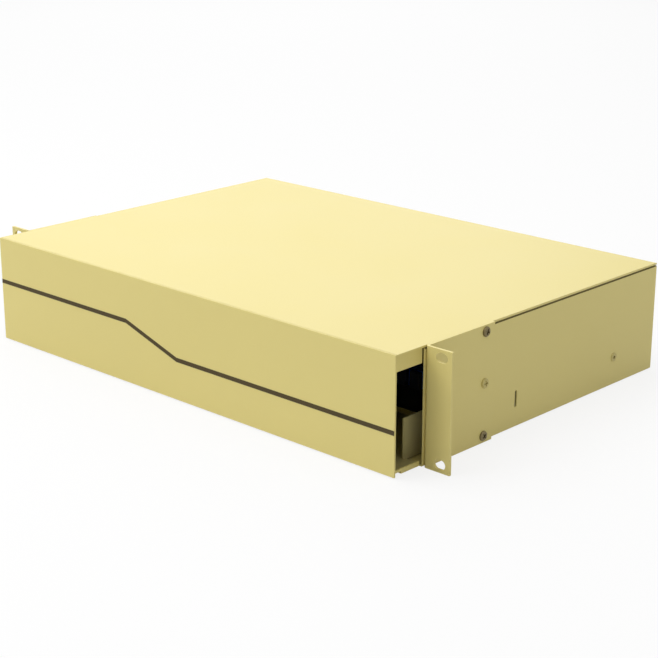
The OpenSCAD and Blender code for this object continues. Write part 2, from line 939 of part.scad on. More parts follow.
module splice_tray_upper() {
  lug_x = splice_w / 2 - lug_w;
  color(milky) {
    splice_shell(upper_z);
    both_sides() difference() {
      union() {
        bar_x(tilt_r, lug_x, splice_w / 2, tilt_y, tilt_z);
        block([lug_x, splice_end - eps, tilt_z - tilt_r], [splice_w / 2, tilt_y, tilt_z + tilt_r]);
      }
      bar_x(tilt_bore_r, lug_x - 1, splice_w / 2 + 1, tilt_y, tilt_z);
    }
  }
}

// Two grooved blocks on a tray's floor that hold the splice sleeves
module splice_combs(z) {
  pitch = comb_d / (comb_teeth + 1);
  comb_y = splice_y + (splice_d - comb_d) / 2;
  color(black) difference() {
    block([-comb_w / 2, comb_y, z + splice_wall], [comb_w / 2, comb_y + comb_d, z + splice_wall + comb_h]);
    for (i = [1 : comb_teeth])
      bar_x(groove_r, -comb_w, comb_w, comb_y + i * pitch, z + splice_wall + comb_h);
  }
}

module splice_combs_lower() {
  splice_combs(splice_floor_z);
}

module splice_combs_upper() {
  splice_combs(upper_z);
}

module splice_cover() {
  color(milky, 0.4)
    block([-splice_w / 2, splice_y, upper_z + splice_h],
          [splice_w / 2, splice_end, upper_z + splice_h + lens_t]);
}

// A drum with a flange on the floor and four tabs just under its rim
module fibre_reel() {
  difference() {
    union() {
      cylinder(r = reel_flange_r, h = reel_wall);
      cylinder(r = reel_r, h = reel_h);
    }
    translate([0, 0, reel_wall]) cylinder(r = reel_r - reel_wall, h = reel_h);
  }
  for (turn = [45 : 90 : 315])
    rotate([0, 0, turn])
      block([reel_r - reel_wall / 2, -reel_tab_w / 2, reel_h - 2 * reel_wall],
            [reel_flange_r, reel_tab_w / 2, reel_h - reel_wall]);
}

module fibre_reels() {
  color(black) both_sides()
    translate([reel_x, reel_y, floor_z]) fibre_reel();
}

// A gland's collar and its hollow thread through the rear panel
module gland_bodies() {
  color(black) both_sides() difference() {
    union() {
      hex_y(gland_af, body_d - cover_t, body_d + gland_collar, gland_x, entry_z);
      bar_y(thread_d / 2, gland_wall - thread_l, body_d, gland_x, entry_z);
      bar_y(seal_r + 1, body_d, body_d + gland_collar + gland_nose_l, gland_x, entry_z);
    }
    bar_y(gland_bore_r, gland_wall - thread_l - 1, body_d + gland_collar + dome_l, gland_x, entry_z);
    bar_y(seal_r, body_d + gland_collar - seal_seat, body_d + gland_collar + dome_l, gland_x, entry_z);
  }
}

module gland_locknuts() {
  color(black) both_sides() difference() {
    hex_y(gland_af, rear_y - locknut_t, rear_y, gland_x, entry_z);
    bar_y(locknut_bore / 2, rear_y - locknut_t - 1, rear_y + 1, gland_x, entry_z);
  }
}

// The nut that presses the seal on the cable
module gland_domes() {
  dome_y = body_d + gland_collar;
  color(black) both_sides() difference() {
    union() {
      hex_y(gland_af, dome_y, dome_y + dome_l * dome_hex, gland_x, entry_z);
      bar_y(dome_r, dome_y, dome_y + dome_l, gland_x, entry_z);
    }
    bar_y(gland_bore_r, dome_y - 1, dome_y + dome_l + 1, gland_x, entry_z);
    bar_y(seal_r + 1 + seal_play, dome_y - 1, dome_y + dome_l - dome_end_t, gland_x, entry_z);
  }
}

module gland_seals() {
  seal_y = body_d + gland_collar - seal_seat;
  color(black) both_sides() difference() {
    bar_y(seal_r - seal_play, seal_y, seal_y + seal_l, gland_x, entry_z);
    bar_y(cable_d / 2, seal_y - 1, seal_y + seal_l + 1, gland_x, entry_z);
  }
}

module blanking_plugs() {
  color(black) both_sides() {
    bar_y(plug_head_d / 2, gland_wall, gland_wall + plug_head_t, plug_x, entry_z);
    bar_y(entry_d / 2 - 0.1, rear_y - plug_shank, gland_wall + eps, plug_x, entry_z);
  }
}

// Saddles that the incoming cables are clamped on
module cable_anchors() {
  color(zinc) both_sides() difference() {
    block([gland_x - anchor_w / 2, anchor_y - anchor_d, sheet], [gland_x + anchor_w / 2, anchor_y, anchor_top]);
    bar_y(anchor_groove_r, anchor_y - anchor_d - 1, anchor_y + 1, gland_x, anchor_groove_z);
    for (side = [-1, 1])
      translate([gland_x + side * anchor_screw_x, anchor_y - anchor_d / 2, sheet + 2])
        cylinder(d = m4_tap, h = anchor_top);
  }
}

module anchor_bars() {
  color(zinc) both_sides() difference() {
    block([gland_x - anchor_w / 2, anchor_y - anchor_d, anchor_bar_z],
          [gland_x + anchor_w / 2, anchor_y, anchor_bar_z + anchor_bar_t]);
    for (side = [-1, 1])
      translate([gland_x + side * anchor_screw_x, anchor_y - anchor_d / 2, anchor_bar_z - 1])
        cylinder(d = m4_clear, h = anchor_bar_t + 2);
  }
}

module anchor_screws() {
  color(zinc) both_sides()
    for (side = [-1, 1])
      translate([gland_x + side * anchor_screw_x, anchor_y - anchor_d / 2, anchor_bar_z + anchor_bar_t])
        screw(8, 2.4, m4_shank, anchor_screw_l);
}

// The earth stud, with a thinner end that guides the earth lug and the nut
module ground_stud() {
  tip_y = gland_wall + stud_out;
  color(zinc) {
    bar_y(stud_d / 2 - 0.05, rear_y - stud_in, tip_y - stud_tip_l, stud_x, stud_z);
    bar_y(stud_tip_d / 2, tip_y - stud_tip_l - eps, tip_y, stud_x, stud_z);
  }
}

// A nut inside the rear panel, and a washer and a nut outside it
module ground_nuts() {
  color(zinc) difference() {
    union() {
      hex_y(nut_m6_af, rear_y - nut_m6_t, rear_y, stud_x, stud_z);
      bar_y(6, gland_wall, gland_wall + washer_t, stud_x, stud_z);
      hex_y(nut_m6_af, gland_wall + washer_t, gland_wall + washer_t + nut_m6_t, stud_x, stud_z);
    }
    bar_y(stud_d / 2, rear_y - 20, gland_wall + stud_out, stud_x, stud_z);
  }
}

base_pan();
rear_panel();
top_cover();
front_header();
ear_left();
ear_right();
ear_screws();
ear_nuts();
cover_screws();
cover_nuts();
slide_outer_left();
slide_outer_right();
slide_rivets();
ball_cage_left();
ball_cage_right();
slide_balls_left();
slide_balls_right();
slide_inner_left();
slide_inner_right();
runner_screws();
drawer_tray();
front_frame();
frame_rivets();
cord_rings();
hinge_frame_leaves();
hinge_pins();
hinge_door_leaves();
front_door();
door_stripe();
door_catches();
catch_strikes();
adapter_bracket();
bracket_screws();
adapter_plate_left();
adapter_plate_centre();
adapter_plate_right();
plate_screws();
adapters_left();
adapters_centre();
adapters_right();
alignment_sleeves();
front_dust_caps();
rear_dust_caps();
tray_cradle();
splice_tray_lower();
splice_tray_upper();
splice_combs_lower();
splice_combs_upper();
splice_cover();
fibre_reels();
gland_bodies();
gland_locknuts();
gland_domes();
gland_seals();
blanking_plugs();
cable_anchors();
anchor_bars();
anchor_screws();
ground_stud();
ground_nuts();
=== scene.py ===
# Looks of a two-unit fibre distribution frame: beige powder coat, zinc fittings, blue adapters.
# Everything is in metres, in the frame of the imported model.
import json
import math

import bmesh
import bpy
from mathutils import Matrix, Vector


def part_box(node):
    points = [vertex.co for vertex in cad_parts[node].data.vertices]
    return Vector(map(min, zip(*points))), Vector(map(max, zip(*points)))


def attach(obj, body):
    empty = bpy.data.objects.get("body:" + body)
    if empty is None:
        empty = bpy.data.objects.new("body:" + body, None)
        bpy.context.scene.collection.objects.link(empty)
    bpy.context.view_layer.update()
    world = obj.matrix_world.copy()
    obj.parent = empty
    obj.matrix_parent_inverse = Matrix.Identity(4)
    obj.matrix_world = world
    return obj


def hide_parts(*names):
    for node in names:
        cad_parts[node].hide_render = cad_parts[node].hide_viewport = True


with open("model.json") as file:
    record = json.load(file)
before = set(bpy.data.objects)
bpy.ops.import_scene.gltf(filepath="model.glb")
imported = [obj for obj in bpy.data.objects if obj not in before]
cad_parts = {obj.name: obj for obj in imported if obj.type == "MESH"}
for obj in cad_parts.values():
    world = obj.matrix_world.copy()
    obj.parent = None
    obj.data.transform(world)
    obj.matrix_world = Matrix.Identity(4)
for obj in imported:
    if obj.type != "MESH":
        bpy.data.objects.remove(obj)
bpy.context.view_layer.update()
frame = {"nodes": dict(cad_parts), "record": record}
record = frame["record"]
bodyOf = {node: body for body, members in record["behaviour"]["bodies"].items() for node in members}
slotOf = {entry["node"]: entry["material_slot"] for entry in record["subparts"]}
fitted = set()  # the nodes that a piece made here stands for
mm = 0.001
weld = 0.002 * mm  # nearer corners are one corner
flush = 0.1 * mm  # how far a face may lie from the end of its piece and still be its end face
print("frame loaded:", len(frame["nodes"]), "nodes")


# Shader wiring

class Wire:  # one output socket, so that shader sums can be written as Python
    def __init__(self, sheet, socket):
        self.sheet = sheet
        self.socket = socket

    def maths(self, operation, first, second):
        return self.sheet.add("ShaderNodeMath", {"operation": operation}, {0: first, 1: second})

    def __add__(self, other):
        return self.maths("ADD", self, other)

    def __radd__(self, other):
        return self.maths("ADD", other, self)

    def __sub__(self, other):
        return self.maths("SUBTRACT", self, other)

    def __rsub__(self, other):
        return self.maths("SUBTRACT", other, self)

    def __mul__(self, other):
        return self.maths("MULTIPLY", self, other)

    def __rmul__(self, other):
        return self.maths("MULTIPLY", other, self)


class NodeSheet:  # the nodes of one material, or of the surround
    def __init__(self, holder):
        holder.use_nodes = True
        self.holder = holder
        self.tree = holder.node_tree
        self.tree.nodes.clear()

    def add(self, kind, settings, inputs, output=0):
        node = self.tree.nodes.new(kind)
        for key, value in settings.items():
            if key == "stops":
                for element, (place, shade) in zip(node.color_ramp.elements, value):
                    element.position = place
                    element.color = (shade, shade, shade, 1)
            else:
                setattr(node, key, value)
        for key, value in inputs.items():
            if isinstance(value, Wire):
                self.tree.links.new(value.socket, node.inputs[key])
            else:
                node.inputs[key].default_value = value
        return Wire(self, node.outputs[output]) if len(node.outputs) else None

    def objectPlace(self, stretch=(1, 1, 1)):
        place = self.add("ShaderNodeTexCoord", {}, {}, "Object")
        return self.add("ShaderNodeMapping", {}, {"Vector": place, "Scale": stretch})

    def noise(self, place, size, detail=2, roughness=0.5):  # size is the width of one grain in metres
        return self.add("ShaderNodeTexNoise", {},
                        {"Vector": place, "Scale": 1 / size, "Detail": detail, "Roughness": roughness})

    def mixColour(self, factor, first, second):
        return self.add("ShaderNodeMix", {"data_type": "RGBA"}, {0: factor, 6: first, 7: second}, 2)

    def seenRays(self):  # 1 for rays that show a surface to the camera, straight, mirrored or through plastic
        kinds = [self.add("ShaderNodeLightPath", {}, {}, kind)
                 for kind in ("Is Camera Ray", "Is Glossy Ray", "Is Transmission Ray")]
        return kinds[0] + kinds[1] + kinds[2]

    def bump(self, height, strength, distance):
        return self.add("ShaderNodeBump", {}, {"Height": height, "Strength": strength, "Distance": distance})

    def finish(self, inputs):
        shader = self.add("ShaderNodeBsdfPrincipled", {}, inputs)
        self.add("ShaderNodeOutputMaterial", {}, {"Surface": shader})
        return self.holder


def newSheet(name):
    return NodeSheet(bpy.data.materials.new(name))


def shade(colour, factor):
    return tuple(min(1, part * factor) for part in colour) + (1,)


# Finishes

def powderCoat(name, look):
    sheet = newSheet(name)
    place = sheet.objectPlace()
    peel = sheet.noise(place, look["peel"])
    grain = sheet.noise(place, look["grain"], 1)
    cloud = sheet.noise(place, look["cloud"], 4, 0.6)
    speck = sheet.add("ShaderNodeValToRGB", {"stops": look["speckStops"]},
                      {"Fac": sheet.noise(place, look["speckSize"])})
    low, high = (shade(look["colour"], 1 + way * look["drift"]) for way in (-1, 1))
    tone = sheet.mixColour(cloud, low, high)
    tone = sheet.mixColour(speck * look["speck"], tone, shade(look["colour"], look["speckShade"]))
    height = peel * look["peelShare"] + grain * (1 - look["peelShare"])
    drift = (peel - 0.5) * look["peelGloss"] + (cloud - 0.5) * look["cloudGloss"]
    return sheet.finish({
        "Base Color": tone,
        "Roughness": look["roughness"] + drift,
        "Specular IOR Level": look["specular"],
        "Normal": sheet.bump(height, look["bump"], look["depth"]),
    })


def platedSteel(name, look):
    sheet = newSheet(name)
    place = sheet.objectPlace()
    lines = sheet.noise(sheet.objectPlace(look["stretch"]), look["line"], 3)
    cloud = sheet.noise(place, look["cloud"], 4, 0.65)
    spot = sheet.noise(place, look["spot"])
    low, high = (shade(look["colour"], factor) for factor in look["tones"])
    tone = sheet.mixColour(cloud, low, high)
    tone = sheet.mixColour(spot * look["tintShare"], tone, (*look["tint"], 1))
    height = lines * look["lineShare"] + spot * (1 - look["lineShare"])
    drift = (cloud - 0.5) * look["cloudGloss"] + (lines - 0.5) * look["lineGloss"]
    return sheet.finish({
        "Base Color": tone,
        "Metallic": 1.0,
        "Roughness": look["roughness"] + drift,
        "Normal": sheet.bump(height, look["bump"], look["depth"]),
    })


def mouldedPlastic(name, look):
    sheet = newSheet(name)
    place = sheet.objectPlace()
    leather = sheet.add("ShaderNodeTexVoronoi", {"feature": "SMOOTH_F1"},
                        {"Vector": place, "Scale": 1 / look["grain"], "Smoothness": look["blur"]})
    cloud = sheet.noise(place, look["grain"] * look["cloudGrains"], 3)
    low, high = (shade(look["colour"], factor) for factor in look["tones"])
    drift = (cloud - 0.5) * look["cloudGloss"] + (leather - 0.5) * look["grainGloss"]
    return sheet.finish({
        "Base Color": sheet.mixColour(cloud, low, high),
        "Roughness": look["roughness"] + drift,
        "Specular IOR Level": look["specular"],
        "Subsurface Weight": look["milk"],
        "Subsurface Radius": (1, 1, 1),
        "Subsurface Scale": look["milkDepth"],
        "Normal": sheet.bump(leather, look["bump"], look["grain"] * look["relief"]),
    })


def clearPlastic(name, look):
    sheet = newSheet(name)
    ripple = sheet.noise(sheet.objectPlace(), look["ripple"])
    scuff = sheet.noise(sheet.objectPlace(look["stretch"]), look["scuff"], 3)
    low, high = (shade(look["colour"], factor) for factor in look["tones"])
    return sheet.finish({
        "Base Color": sheet.mixColour(ripple, low, high),
        "Roughness": look["roughness"] + scuff * look["scuffGloss"],
        "IOR": look["index"],
        "Alpha": look["alpha"] + (scuff - 0.5) * look["scuffAlpha"],
        "Normal": sheet.bump(ripple, look["bump"], look["depth"]),
    })


coatLook = {
    "colour": (0.690, 0.590, 0.216), "drift": 0.02, "roughness": 0.46, "specular": 0.3,
    "peel": 1.1 * mm, "grain": 0.35 * mm, "cloud": 90 * mm, "bump": 0.32, "depth": 0.05 * mm,
    "peelShare": 0.7, "peelGloss": 0.16, "cloudGloss": 0.10,
    "speck": 0.10, "speckSize": 0.91 * mm, "speckStops": ((0.66, 0), (0.74, 1)), "speckShade": 0.8,
}
# a darker beige coat for the slide rivets and the middle ear screws
darkerCoatLook = dict(coatLook, colour=(0.530, 0.450, 0.165), cloud=6 * mm, drift=0.05)
# painted shade: the drawer's coat is darkened for the shade it lies in inside the body
drawerShadeLook = dict(coatLook, colour=(0.440, 0.390, 0.175), drift=0.04)
# painted shade: a dark coat standing for the shadow in the seam under the lid
seamShadeLook = dict(coatLook, colour=(0.180, 0.148, 0.056), cloud=12 * mm, drift=0.15, roughness=0.8,
                specular=0.2)
stripeLook = dict(coatLook, colour=(0.070, 0.050, 0.018), drift=0.12, speck=0, roughness=0.6,
                  specular=0.22, bump=0.25)
plateLook = dict(coatLook, colour=(0.012, 0.012, 0.013), drift=0.1, speck=0.05, roughness=0.52, bump=0.4)
zincLook = {
    "colour": (0.56, 0.57, 0.58), "tint": (0.50, 0.55, 0.62), "tones": (0.86, 1.1), "tintShare": 0.25,
    "roughness": 0.38, "cloudGloss": 0.18, "lineGloss": 0.16, "bump": 0.25, "depth": 0.02 * mm,
    "stretch": (1, 0.06, 1), "line": 0.5 * mm, "lineShare": 0.6, "cloud": 9 * mm, "spot": 1.8 * mm,
}
brightLook = dict(zincLook, colour=(0.70, 0.71, 0.72), tint=(0.66, 0.68, 0.72), roughness=0.26)
darkScrewLook = dict(zincLook, colour=(0.185, 0.150, 0.075), tint=(0.22, 0.17, 0.09), roughness=0.42)
blackLook = {
    "colour": (0.014, 0.014, 0.015), "tones": (0.9, 1.1), "roughness": 0.5, "specular": 0.5, "bump": 0.35,
    "grain": 0.7 * mm, "blur": 0.6, "cloudGrains": 30, "relief": 0.12, "cloudGloss": 0.14, "grainGloss": 0.08,
    "milk": 0, "milkDepth": 1.5 * mm,
}
blueLook = dict(blackLook, colour=(0.012, 0.085, 0.42), grain=0.5 * mm, roughness=0.38, bump=0.2)
capLook = dict(blackLook, colour=(0.010, 0.014, 0.034), grain=0.5 * mm, roughness=0.4, bump=0.15)
trayLook = dict(blackLook, colour=(0.60, 0.60, 0.55), grain=0.8 * mm, roughness=0.45, bump=0.25, milk=0.1)
ceramicLook = dict(blackLook, colour=(0.80, 0.80, 0.76), grain=0.3 * mm, roughness=0.2, bump=0.05)
rubberLook = dict(blackLook, colour=(0.020, 0.020, 0.020), grain=0.9 * mm, roughness=0.72, bump=0.5)
lensLook = {
    "colour": (0.86, 0.90, 0.92), "tones": (0.97, 1), "alpha": 0.26, "index": 1.49, "roughness": 0.06,
    "ripple": 12 * mm, "bump": 0.15, "depth": 0.2 * mm,
    "scuff": 2.5 * mm, "stretch": (1, 7, 1), "scuffGloss": 0.12, "scuffAlpha": 0.06,
}

finishes = {
    "paint_beige": powderCoat("beigePowderCoat", coatLook),
    "darker_coat": powderCoat("darkerBeigeCoat", darkerCoatLook),
    "drawer_coat": powderCoat("drawerCoat", drawerShadeLook),
    "seam_dust": powderCoat("paintedShadeInSeam", seamShadeLook),
    "stripe_brown": powderCoat("brownStripePaint", stripeLook),
    "black_plate": powderCoat("blackPowderCoat", plateLook),
    "zinc_steel": platedSteel("zincPlatedSteel", zincLook),
    "bright_steel": platedSteel("brightSteel", brightLook),
    "dark_screw": platedSteel("darkPlatedScrew", darkScrewLook),
    "black_plastic": mouldedPlastic("blackMoulding", blackLook),
    "blue_plastic": mouldedPlastic("blueMoulding", blueLook),
    "cap_plastic": mouldedPlastic("darkBlueCapMoulding", capLook),
    "tray_plastic": mouldedPlastic("offWhiteMoulding", trayLook),
    "sleeve_ceramic": mouldedPlastic("whiteCeramic", ceramicLook),
    "seal_rubber": mouldedPlastic("blackRubber", rubberLook),
    "clear_plastic": clearPlastic("clearCoverPlastic", lensLook),
}
print("finishes made:", len(finishes))


# Modelling helpers

def pick(piece):
    bpy.ops.object.select_all(action="DESELECT")
    piece.select_set(True)
    bpy.context.view_layer.objects.active = piece


def openMesh(piece, mode="EDGE"):
    pick(piece)
    bpy.ops.object.mode_set(mode="EDIT")
    bpy.ops.mesh.select_mode(type=mode)
    bpy.ops.mesh.select_all(action="DESELECT")
    return bmesh.from_edit_mesh(piece.data)


def closeMesh():
    bpy.ops.object.mode_set(mode="OBJECT")


def chooseEdges(piece, wanted):
    mesh = openMesh(piece, "EDGE")
    count = 0
    for edge in mesh.edges:
        a, b = (vertex.co for vertex in edge.verts)
        if wanted(a, b):
            edge.select = True
            count += 1
    bmesh.update_edit_mesh(piece.data)
    return count


def chooseFaces(piece, wanted):
    mesh = openMesh(piece, "FACE")
    for face in mesh.faces:
        face.select = bool(wanted(face.calc_center_median(), face.normal))
    mesh.select_flush_mode()
    bmesh.update_edit_mesh(piece.data)


def roundEdges(piece, wanted, radius, steps):
    if chooseEdges(piece, wanted):
        bpy.ops.mesh.bevel(offset=radius, offset_type="OFFSET", segments=steps, affect="EDGES")
    closeMesh()


def useModifier(piece, kind, settings):
    pick(piece)
    modifier = piece.modifiers.new(kind.lower(), kind)
    for key, value in settings.items():
        setattr(modifier, key, value)
    bpy.ops.object.modifier_apply(modifier=modifier.name)


def smooth(piece, angle=35):
    pick(piece)
    bpy.ops.object.shade_smooth_by_angle(angle=math.radians(angle))


def softenAll(piece, radius, steps=2, angle=32):
    useModifier(piece, "BEVEL", {"width": radius, "segments": steps, "limit_method": "ANGLE",
                                 "angle_limit": math.radians(angle), "use_clamp_overlap": True,
                                 "miter_outer": "MITER_ARC"})
    smooth(piece)
    useModifier(piece, "WEIGHTED_NORMAL", {"weight": 100, "keep_sharp": True})  # wide faces stay flat


def camel(node):
    first, *rest = node.split("_")
    return first + "".join(word.capitalize() for word in rest)


def cadCopy(node):  # the node's own mesh, with its triangles merged into whole faces
    piece = bpy.data.objects.new(camel(node), frame["nodes"][node].data.copy())
    bpy.context.scene.collection.objects.link(piece)
    piece.data.materials.clear()
    openMesh(piece, "VERT")
    bpy.ops.mesh.select_all(action="SELECT")
    bpy.ops.mesh.remove_doubles(threshold=weld)
    bpy.ops.mesh.select_mode(type="FACE")
    bpy.ops.mesh.select_all(action="SELECT")
    bpy.ops.mesh.dissolve_limited(angle_limit=math.radians(0.6))
    closeMesh()
    return piece


def place(piece):  # the finished object sits at the origin, with its place in its mesh
    pick(piece)
    bpy.ops.object.transform_apply(location=True, rotation=True, scale=True)
    return piece


def cut(piece, cutter):
    useModifier(piece, "BOOLEAN", {"operation": "DIFFERENCE", "object": cutter, "solver": "EXACT"})
    bpy.data.objects.remove(cutter)


def joined(pieces, name):
    bpy.ops.object.select_all(action="DESELECT")
    for piece in pieces:
        piece.select_set(True)
    bpy.context.view_layer.objects.active = pieces[0]
    bpy.ops.object.join()
    whole = bpy.context.view_layer.objects.active
    whole.name = name
    return place(whole)


def ownCopy(piece, move):
    twin = piece.copy()
    twin.data = piece.data.copy()
    bpy.context.scene.collection.objects.link(twin)
    twin.matrix_world = move @ piece.matrix_world
    return twin


def fit(piece, node):
    slot = slotOf[node]
    piece.data.materials.clear()
    piece.data.materials.append(finishes[slot])
    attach(piece, bodyOf[node])
    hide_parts(node)
    fitted.add(node)


def keepCad(node):  # a node that shows as it is gets its finish
    materials = frame["nodes"][node].data.materials
    if not len(materials):
        materials.append(None)
    for index in range(len(materials)):
        materials[index] = finishes[slotOf[node]]


def along(axis, places, tolerance=0.02 * mm):  # straight edges along an axis, at places of the other two
    first, second = (index for index in range(3) if index != axis)

    def near(point, p, q):
        return abs(point[first] - p) < tolerance and abs(point[second] - q) < tolerance

    def wanted(a, b):
        longEnough = abs(a[axis] - b[axis]) >= 2 * tolerance
        return longEnough and any(near(a, p, q) and near(b, p, q) for p, q in places)
    return wanted


# Body

# the seam shade band is how far below the wall top the painted seam shade reaches
panLook = {"bend": 1.6 * mm, "seam": 0.8 * mm, "chamfer": 0.75 * mm, "dust": 0.675 * mm, "edge": 0.16 * mm}


def makePan():
    low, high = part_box("base_pan")
    piece = cadCopy("base_pan")
    roundEdges(piece, along(1, [(low.x, low.z), (high.x, low.z)]), panLook["bend"], 5)
    wallTop = high.z - panLook["seam"]
    seamShadeLow, seamShadeSide = wallTop - panLook["dust"], high.x - 2 * panLook["seam"]
    width = panLook["chamfer"] * math.sqrt(2)
    for side in (low.x, high.x):  # a chamfer under the lid opens its seam
        bpy.ops.mesh.primitive_cube_add(size=1, location=(side, (low.y + high.y) / 2, wallTop),
                                        rotation=(0, math.pi / 4, 0), scale=(width, 2 * high.y, width))
        cut(piece, place(bpy.context.object))
    softenAll(piece, panLook["edge"])
    fit(piece, "base_pan")
    piece.data.materials.append(finishes["seam_dust"])
    for polygon in piece.data.polygons:  # painted shade: the chamfer and seam faces get a dark coat for the shadow under the lid
        spot = polygon.center
        outward = math.copysign(1, spot.x) * polygon.normal.x
        if spot.z > seamShadeLow and abs(spot.x) > seamShadeSide and outward > 0.1:
            polygon.material_index = 1


coverLook = {"bend": 1.4 * mm, "edge": 0.22 * mm}


def makeCover():
    low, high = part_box("top_cover")
    piece = cadCopy("top_cover")
    roundEdges(piece, along(0, [(high.y, high.z)]), coverLook["bend"], 5)
    softenAll(piece, coverLook["edge"], 3)
    fit(piece, "top_cover")


doorLook = {"edge": 0.3 * mm, "angle": 40}


def makeDoor():
    piece = cadCopy("front_door")
    softenAll(piece, doorLook["edge"], 3, doorLook["angle"])
    fit(piece, "front_door")


sheetEdges = {  # small edge rounding, in mm, of the pieces that keep their shape
    "rear_panel": 0.16, "front_header": 0.2, "ear_left": 0.28, "ear_right": 0.28,
    "ear_nuts": 0.25, "cover_nuts": 0.25, "slide_outer_left": 0.2, "slide_outer_right": 0.2,
    "ball_cage_left": 0.1, "ball_cage_right": 0.1, "slide_inner_left": 0.2, "slide_inner_right": 0.2,
    "drawer_tray": 0.16, "front_frame": 0.2, "frame_rivets": 0.7, "cord_rings": 0.6,
    "hinge_frame_leaves": 0.15, "hinge_door_leaves": 0.15, "door_catches": 0.3, "catch_strikes": 0.15,
    "adapter_bracket": 0.2,
    "adapter_plate_left": 0.2, "adapter_plate_centre": 0.2, "adapter_plate_right": 0.2,
    "tray_cradle": 0.2, "splice_combs_lower": 0.2, "splice_combs_upper": 0.2, "fibre_reels": 0.35,
    "gland_bodies": 0.35, "gland_locknuts": 0.35, "gland_domes": 0.5, "gland_seals": 0.3,
    "cable_anchors": 0.4, "anchor_bars": 0.3, "ground_nuts": 0.25,
}


def makeSheetPieces():
    for node, radius in sheetEdges.items():
        piece = cadCopy(node)
        softenAll(piece, radius * mm)
        fit(piece, node)
        if node == "drawer_tray":  # painted shade: its coat is darkened for the shade inside the drawer
            piece.data.materials[0] = finishes["drawer_coat"]


# Blanking plugs: a rounded rim round a dished middle, with a raised ring and a dimple

plugLook = {"edge": 0.24 * mm, "angle": 24, "rim": 1.6 * mm, "dish": 0.7 * mm, "ring": 1.5 * mm,
            "dimple": 0.5 * mm, "relief": 0.35 * mm}


def makePlugs():
    piece = cadCopy("blanking_plugs")
    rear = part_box("blanking_plugs")[1].y
    chooseFaces(piece, lambda middle, normal: normal.y > 0.9 and abs(middle.y - rear) < flush)
    for inset, rise in ((plugLook["rim"], -plugLook["dish"]), (plugLook["ring"], plugLook["relief"]),
                        (plugLook["dimple"], -plugLook["relief"])):
        bpy.ops.mesh.inset(thickness=inset, use_individual=True)
        bpy.ops.transform.translate(value=(0, rise, 0))
    closeMesh()
    softenAll(piece, plugLook["edge"], 2, plugLook["angle"])
    fit(piece, "blanking_plugs")


# Blind rivets of the slides: a domed head with the small hole that the pin has left

rivetLook = {"sides": 32, "headRadius": 3.5 * mm, "headHeight": 0.8 * mm, "dome": 0.6 * mm,
             "holeSides": 20, "holeRadius": 1.3 * mm, "holeDepth": 2.6 * mm, "shankRadius": 2 * mm}


def makeRivets():
    reach = min(high.x - low.x for low, high in islands("slide_rivets")) - rivetLook["headHeight"]
    bpy.ops.mesh.primitive_cylinder_add(
        vertices=rivetLook["sides"], radius=rivetLook["headRadius"], depth=rivetLook["headHeight"],
        location=(0, 0, rivetLook["headHeight"] / 2))
    head = place(bpy.context.object)
    chooseFaces(head, lambda middle, normal: normal.z > 0.9)
    bpy.ops.mesh.bevel(offset=rivetLook["dome"], offset_type="OFFSET", segments=5, affect="EDGES")
    closeMesh()
    chooseFaces(head, lambda middle, normal: normal.z < -0.9)
    bpy.ops.mesh.inset(thickness=rivetLook["headRadius"] - rivetLook["shankRadius"])
    bpy.ops.mesh.extrude_region_move(TRANSFORM_OT_translate={"value": (0, 0, -reach)})
    closeMesh()
    bpy.ops.mesh.primitive_cylinder_add(
        vertices=rivetLook["holeSides"], radius=rivetLook["holeRadius"], depth=2 * rivetLook["holeDepth"],
        location=(0, 0, rivetLook["headHeight"]))
    cut(head, place(bpy.context.object))
    smooth(head, 30)
    rivets = []
    for low, high in islands("slide_rivets"):
        middle = (low + high) / 2
        outward = 1 if middle.x > 0 else -1
        tip = high.x if outward > 0 else low.x
        seat = Vector((tip - outward * rivetLook["headHeight"], middle.y, middle.z))
        rivets.append(ownCopy(head, Matrix.Translation(seat) @ aimed((outward, 0, 0))))
    bpy.data.objects.remove(head)
    piece = joined(rivets, camel("slide_rivets"))
    fit(piece, "slide_rivets")
    # the rivet heads get the darker beige coat
    piece.data.materials[0] = finishes["darker_coat"]


# Screws: a domed head with a cross recess on a threaded shank

screwLook = {  # crown and slotDepth are shares of the head's height, arm and slotWidth of its diameter
    "sides": 28, "crown": 0.72, "arm": 0.56, "slotWidth": 0.15, "slotDepth": 0.6, "pitch": 0.6 * mm,
    "threadRoot": 0.86, "turn": 0.4, "turnStep": 1.1,
}


def makeThread(radius, length, pitch, sides):  # a ridged bar from the origin down along Z
    bpy.ops.mesh.primitive_circle_add(vertices=sides, radius=radius, fill_type="NGON")
    bar = place(bpy.context.object)
    openMesh(bar, "FACE")
    bpy.ops.mesh.select_all(action="SELECT")
    turns = max(2, int(length / pitch))
    for step in range(2 * turns):
        bpy.ops.mesh.extrude_region_move(TRANSFORM_OT_translate={"value": (0, 0, -length / turns / 2)})
        grow = screwLook["threadRoot"] if step % 2 == 0 else 1 / screwLook["threadRoot"]
        bpy.ops.transform.resize(value=(grow, grow, 1))
    bpy.ops.mesh.select_all(action="SELECT")
    bpy.ops.mesh.normals_make_consistent(inside=False)
    closeMesh()
    return bar


def makeScrew(headDiameter, headHeight, shankDiameter, length):
    sides = screwLook["sides"]
    bpy.ops.mesh.primitive_cylinder_add(vertices=sides, radius=headDiameter / 2, depth=headHeight,
                                        location=(0, 0, headHeight / 2))
    head = place(bpy.context.object)
    chooseFaces(head, lambda middle, normal: normal.z > 0.9)
    bpy.ops.mesh.bevel(offset=headHeight * screwLook["crown"], offset_type="OFFSET", segments=5,
                       affect="EDGES")
    closeMesh()
    slot = (headDiameter * screwLook["arm"], headDiameter * screwLook["slotWidth"],
            2 * headHeight * screwLook["slotDepth"])
    for turn in (0, math.pi / 2):
        bpy.ops.mesh.primitive_cube_add(size=1, location=(0, 0, headHeight), rotation=(0, 0, turn),
                                        scale=slot)
        cut(head, place(bpy.context.object))
    shank = makeThread(shankDiameter / 2, length, screwLook["pitch"], sides // 2)
    screw = joined([head, shank], "screw")
    smooth(screw, 30)
    return screw


